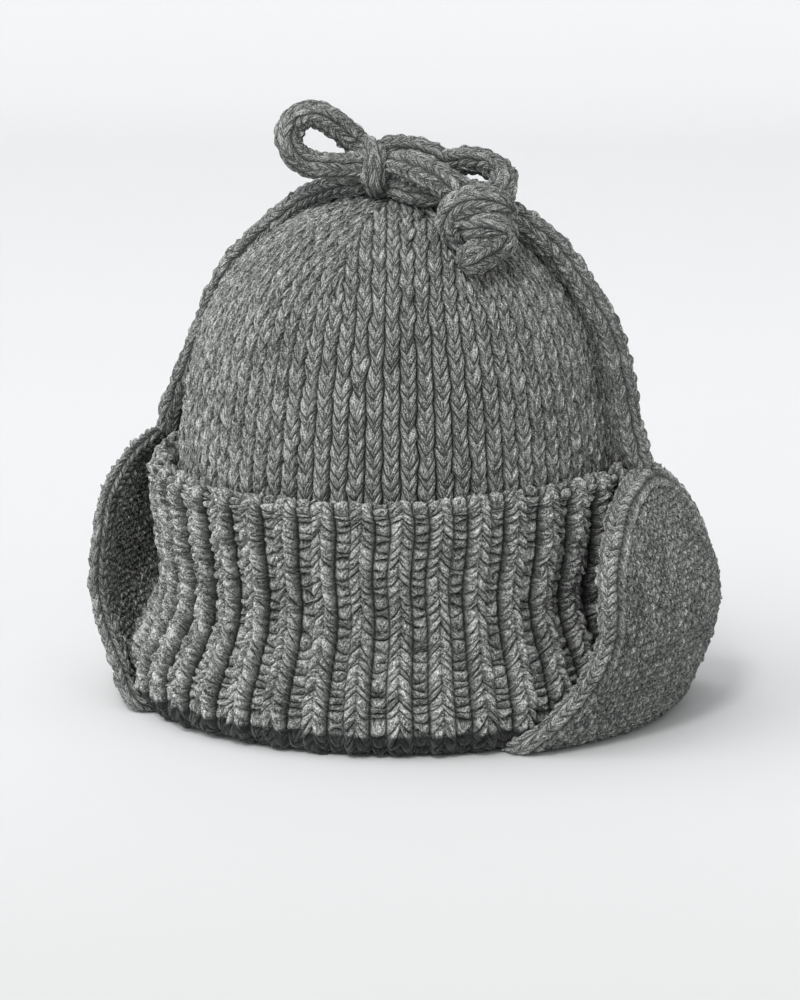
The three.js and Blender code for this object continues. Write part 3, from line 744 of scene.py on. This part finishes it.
# %% The yarn group
def yarn_group():
    """Colour = a ramp from dark to pale fibres, read at streaks plus the leg's own shade; the
    groove is 1 where f or e nears a leg's edge; the height is plies and fibres together."""
    group = bpy.data.node_groups.new("yarn", "ShaderNodeTree")
    socket = group.interface.new_socket
    defaults = {"Leg length": 3.0, "Streaks": 9.0, "Groove": 0.5, "Light": 1.0, "Shade": 0.0}
    for name, default in defaults.items():
        socket(name, in_out="INPUT", socket_type="NodeSocketFloat").default_value = default
    socket("Color", in_out="OUTPUT", socket_type="NodeSocketColor")
    socket("Height", in_out="OUTPUT", socket_type="NodeSocketFloat")
    inputs = group.nodes.new("NodeGroupInput").outputs
    outputs = group.nodes.new("NodeGroupOutput").inputs
    stitches = add_node(group, "ShaderNodeUVMap", uv_map="stitches").outputs[0]
    parts = add_node(group, "ShaderNodeSeparateXYZ", {0: stitches}).outputs
    e, f = add_math(group, "FRACT", parts[0]), add_math(group, "FRACT", parts[1])
    leg, row = add_math(group, "FLOOR", parts[0]), add_math(group, "FLOOR", parts[1])
    own = add_node(group, "ShaderNodeCombineXYZ", {0: leg, 1: row}).outputs[0]
    shade = add_node(group, "ShaderNodeTexWhiteNoise", {"Vector": own}, noise_dimensions="3D").outputs[0]
    run = add_math(group, "MULTIPLY", parts[0], inputs["Leg length"])
    twist = add_math(group, "MULTIPLY_ADD", e, 0.8, parts[1])
    across = add_math(group, "MULTIPLY", twist, inputs["Streaks"])
    fibre_place = add_node(group, "ShaderNodeCombineXYZ", {0: run, 1: across}).outputs[0]
    noise = {"Vector": fibre_place, "Scale": 1.0, "Detail": 3.0, "Roughness": 0.7}
    fibre = add_node(group, "ShaderNodeTexNoise", noise).outputs[0]
    place = add_node(group, "ShaderNodeTexCoord").outputs["Object"]
    noise = {"Vector": place, "Scale": 1500.0, "Detail": 2.0, "Roughness": 0.75}
    melange = add_node(group, "ShaderNodeTexNoise", noise).outputs[0]
    noise = {"Vector": place, "Scale": 45.0, "Detail": 2.0}
    clouds = add_node(group, "ShaderNodeTexNoise", noise).outputs[0]
    ply = add_math(group, "SINE", add_math(group, "MULTIPLY", twist, 12.57))
    value = add_math(group, "MULTIPLY_ADD", shade, 0.2, -0.1)
    value = add_math(group, "ADD", value, add_math(group, "MULTIPLY_ADD", fibre, 1.15, -0.06))
    value = add_math(group, "ADD", value, add_math(group, "MULTIPLY_ADD", melange, 1.9, -0.95))
    value = add_math(group, "ADD", value, add_math(group, "MULTIPLY_ADD", clouds, 0.3, -0.15))
    value = add_math(group, "ADD", value, add_math(group, "MULTIPLY", ply, 0.08))
    ramp = add_node(group, "ShaderNodeValToRGB", {0: value})
    stops = ramp.color_ramp.elements
    stops[0].position, stops[0].color = 0.2, (0.02, 0.022, 0.02, 1)
    stops[1].position, stops[1].color = 0.86, (0.64, 0.655, 0.615, 1)
    middle = stops.new(0.52)
    middle.color = (0.212, 0.219, 0.206, 1)
    # painted shade: the grooves between legs and rows, and the pit where a V's legs meet, are darkened as
    # shadow darkens them
    edge_f = add_math(group, "ABSOLUTE", add_math(group, "MULTIPLY_ADD", f, 2.0, -1.0))
    edge_e = add_math(group, "SUBTRACT", 1.0, e)
    at_ends = add_math(group, "POWER", edge_e, 5.0)
    at_sides = add_math(group, "MULTIPLY", add_math(group, "POWER", edge_f, 5.0), 0.9)
    at_middle = add_math(group, "MULTIPLY", add_math(group, "POWER", e, 9.0), 0.45)
    groove = add_math(group, "MAXIMUM", add_math(group, "MAXIMUM", at_sides, at_ends), at_middle)
    uneven = add_math(group, "MULTIPLY_ADD", melange, 1.2, 0.45)
    dark = add_math(group, "MULTIPLY", add_math(group, "MULTIPLY", groove, inputs["Groove"]), uneven)
    dark = add_node(group, "ShaderNodeClamp", {0: dark}).outputs[0]
    keep = add_math(group, "MULTIPLY", add_math(group, "SUBTRACT", 1.0, dark), inputs["Light"])
    up = add_node(group, "ShaderNodeSeparateXYZ", {0: place}).outputs[2]
    low = add_node(group, "ShaderNodeMapRange", {0: up, 1: 0.0096, 2: 0.0116, 3: 1.0, 4: 0.0}).outputs[0]
    lit = add_math(group, "SUBTRACT", 1.0, add_math(group, "MULTIPLY", low, inputs["Shade"]))
    keep = add_math(group, "MULTIPLY", keep, lit)
    scaled = {0: ramp.outputs[0], "Scale": keep}
    colour = add_node(group, "ShaderNodeVectorMath", scaled, operation="SCALE").outputs[0]
    height = add_math(group, "MULTIPLY_ADD", ply, 0.45, add_math(group, "ADD", fibre, melange))
    group.links.new(colour, outputs["Color"])
    group.links.new(height, outputs["Height"])
    return group


yarn = yarn_group()


# %% The knit materials
def wool(name, **values):
    """A rough wool surface with a soft sheen, coloured and raised by the yarn group."""
    material = bpy.data.materials.new(name)
    material.use_nodes = True
    tree = material.node_tree
    shader = tree.nodes["Principled BSDF"]
    shader.inputs["Roughness"].default_value = 0.92
    shader.inputs["Specular IOR Level"].default_value = 0.25
    shader.inputs["Sheen Weight"].default_value = 0.25
    shader.inputs["Sheen Roughness"].default_value = 0.5
    shader.inputs["Sheen Tint"].default_value = (0.8, 0.82, 0.81, 1)
    spun = add_node(tree, "ShaderNodeGroup", node_tree=yarn)
    for key, value in values.items():
        spun.inputs[key.replace("_", " ").capitalize()].default_value = value
    raised = {"Height": spun.outputs["Height"], "Strength": 1.0, "Distance": 0.0007}
    bump = add_node(tree, "ShaderNodeBump", raised)
    tree.links.new(spun.outputs["Color"], shader.inputs["Base Color"])
    tree.links.new(bump.outputs[0], shader.inputs["Normal"])
    return material


crown.data.materials.append(wool("crown_wool", leg_length=5.5, streaks=4.5, groove=1.2, light=1.02))
cuff.data.materials.append(wool("rib_wool", leg_length=6.0, streaks=4.5, groove=1.1, light=1.1, shade=0.95))
# The left flap shows its shaded inside; its wool is lightened to what the picture shows
flap_wool = {
    # painted light: the left flap's copy of the wool is lightened where its inside lies in shade
    "left": wool("flap_wool_left_painted_light", leg_length=4.0, streaks=3.5, groove=0.9, light=2.4),
    # painted shade: the right flap's copy of the same wool is darkened where its outside takes most light
    "right": wool("flap_wool_right_painted_shade", leg_length=4.0, streaks=3.5, groove=0.95, light=0.88),
}
# painted light and shade: the two edgings are one yarn, the left copy darkened and the right one lightened
# to even out how light falls on each side
edging_wool = {
    "left": wool("edging_wool_left_painted_shade", leg_length=5.0, streaks=4.5, groove=0.95, light=0.86),
    "right": wool("edging_wool_right_painted_light", leg_length=5.0, streaks=4.5, groove=0.95, light=1.04),
}
cord_wool = wool("cord_wool", leg_length=5.0, streaks=4.5, groove=0.95, light=0.82)
for name in ("left", "right"):
    flaps[name].data.materials.append(flap_wool[name])
    flaps["edging_" + name].data.materials.append(edging_wool[name])
    cords["cord_" + name].data.materials.append(cord_wool)

# %% [markdown]
# ## The studio
#
# A white table that turns up into a white background, a soft light above the camera, a weak one
# from the right, and a pale sky that is brighter on the left, as a room with large windows is.
# The paper is a little darker near the camera and lighter on the wall: painted shade and
# light, which even out how the key light falls. The floor isn't part of the cap.

# %% Floor and lights
def sweep():
    """The floor runs back 2.2 m, then bends up over a quarter circle of 0.8 m into a wall."""
    angle = np.linspace(0, np.pi / 2, 17)
    y = np.concatenate([[-4.0], 2.2 + 0.8 * np.sin(angle), [3.0]])
    z = np.concatenate([[0.0], 0.8 - 0.8 * np.cos(angle), [5.0]])
    x = np.array([-5.0, 5.0])
    turned = np.stack([x[:, None] * np.ones_like(y), y * np.ones((2, 1)), z * np.ones((2, 1))], axis=2)
    cos, sin = np.cos(AZIMUTH), np.sin(AZIMUTH)
    across, back = turned[:, :, 0].copy(), turned[:, :, 1].copy()
    turned[:, :, 0] = across * cos - back * sin
    turned[:, :, 1] = across * sin + back * cos
    count = len(y)
    faces = [(i, count + i, count + i + 1, i + 1) for i in range(count - 1)]
    mesh = bpy.data.meshes.new("studio_floor")
    mesh.from_pydata(turned.reshape(-1, 3).tolist(), [], faces)
    mesh.shade_smooth()
    floor = bpy.data.objects.new("studio_floor", mesh)
    bpy.context.scene.collection.objects.link(floor)
    return floor


right_of_view = np.array([np.cos(AZIMUTH), np.sin(AZIMUTH), 0.0])
back_of_view = np.array([-np.sin(AZIMUTH), np.cos(AZIMUTH), 0.0])
floor = sweep()
paper = bpy.data.materials.new("white_paper")
paper.use_nodes = True
tree = paper.node_tree
place = add_node(tree, "ShaderNodeTexCoord").outputs["Object"]
# painted shade and light: the paper darkens towards the camera and lightens towards the wall
back = {0: place, 1: tuple(back_of_view)}
back = add_node(tree, "ShaderNodeVectorMath", back, operation="DOT_PRODUCT").outputs["Value"]
back = add_node(tree, "ShaderNodeMapRange", {0: back, 1: -0.5, 2: 3.0, 3: 0.0, 4: 1.0})
tone = add_node(tree, "ShaderNodeValToRGB", {0: back.outputs[0]})
stops = tone.color_ramp.elements
stops[0].position, stops[0].color = 0.014, (0.497, 0.497, 0.492, 1)
stops[1].position, stops[1].color = 0.89, (0.672, 0.672, 0.675, 1)
for at, level in ((0.114, 0.575), (0.267, 0.61), (0.357, 0.63)):
    stops.new(at).color = (level, level, level, 1)
tree.links.new(tone.outputs[0], tree.nodes["Principled BSDF"].inputs["Base Color"])
tree.nodes["Principled BSDF"].inputs["Roughness"].default_value = 0.8
tree.nodes["Principled BSDF"].inputs["Specular IOR Level"].default_value = 0.2
floor.data.materials.append(paper)


def soft_light(name, place, size, power):
    """A square area light at `place`, turned to the cap's middle."""
    light = bpy.data.objects.new(name, bpy.data.lights.new(name, "AREA"))
    light.data.size = size
    light.data.energy = power
    light.location = place
    light.rotation_euler = (Vector(place) - Vector(AIM)).to_track_quat("Z", "Y").to_euler()
    bpy.context.scene.collection.objects.link(light)


soft_light("key", tuple(-0.65 * right_of_view - 2.1 * back_of_view + [0, 0, 2.6]), 0.6, 42.0)
soft_light("fill", tuple(1.6 * right_of_view - 1.2 * back_of_view + [0, 0, 0.7]), 1.4, 5.0)
world = bpy.data.worlds.new("pale_sky")
world.use_nodes = True
tree = world.node_tree
facing = add_node(tree, "ShaderNodeTexCoord").outputs["Generated"]
left = {0: facing, 1: tuple(-right_of_view)}
left = add_node(tree, "ShaderNodeVectorMath", left, operation="DOT_PRODUCT").outputs["Value"]
left = add_node(tree, "ShaderNodeMapRange", {0: left, 1: -1.0, 2: 1.0, 3: 0.0, 4: 1.0}).outputs[0]
tone = add_node(tree, "ShaderNodeValToRGB", {0: left})
tone.color_ramp.elements[0].color = (0.075, 0.075, 0.076, 1)
tone.color_ramp.elements[1].color = (0.97, 0.985, 1.0, 1)
tree.links.new(tone.outputs[0], tree.nodes["Background"].inputs["Color"])
tree.nodes["Background"].inputs["Strength"].default_value = 2.6
bpy.context.scene.world = world
